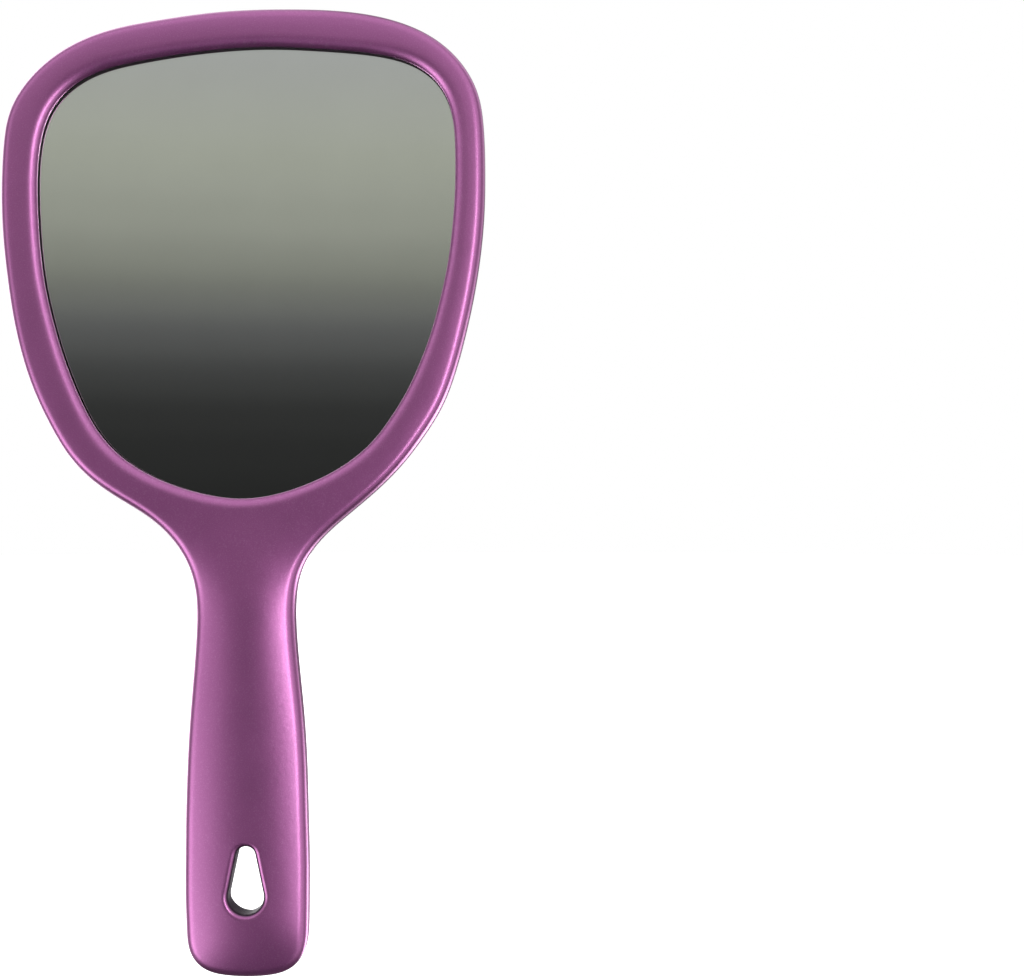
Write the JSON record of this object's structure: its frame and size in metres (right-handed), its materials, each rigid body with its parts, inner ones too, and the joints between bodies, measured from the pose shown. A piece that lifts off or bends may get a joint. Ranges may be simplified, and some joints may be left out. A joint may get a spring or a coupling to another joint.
{
  "type": "hand mirror",
  "caption": "Hand mirror with a rounded shield-shaped head, a long flared grip with a teardrop hanging hole, and round magnifying mirrors set into its crowned back.",
  "frame": {"origin": "middle of the grip, on the parting plane of the two shells", "axes": "+Z from the grip to the head, -Y out of the plane mirror's face, +Y out of the crowned back, +X to the right when the plane mirror faces the viewer"},
  "size_m": [0.1529, 0.0156, 0.3057],
  "materials": {
    "purple_paint_front": "satin metallic paint on moulded plastic",
    "purple_paint_back": "satin metallic paint on moulded plastic",
    "mirror_glass": "polished float glass with a ground edge",
    "silver_backing": "silvered, with protective paint behind",
    "foam_tape": "double-sided foam tape",
    "foam_pad": "closed-cell foam"
  },
  "bodies": {
    "root": {"front_frame": "purple_paint_front", "back_cover": "purple_paint_back", "main_mirror_glass": "mirror_glass", "main_mirror_backing": "silver_backing", "upper_round_glass": "mirror_glass", "upper_round_backing": "silver_backing", "upper_round_foam_tape": "foam_tape", "lower_round_glass": "mirror_glass", "lower_round_backing": "silver_backing", "lower_round_foam_tape": "foam_tape", "foam_pad_upper_cup": "foam_pad", "foam_pad_lower_cup": "foam_pad", "foam_pad_left_post": "foam_pad", "foam_pad_right_post": "foam_pad"}
  },
  "joints": []
}
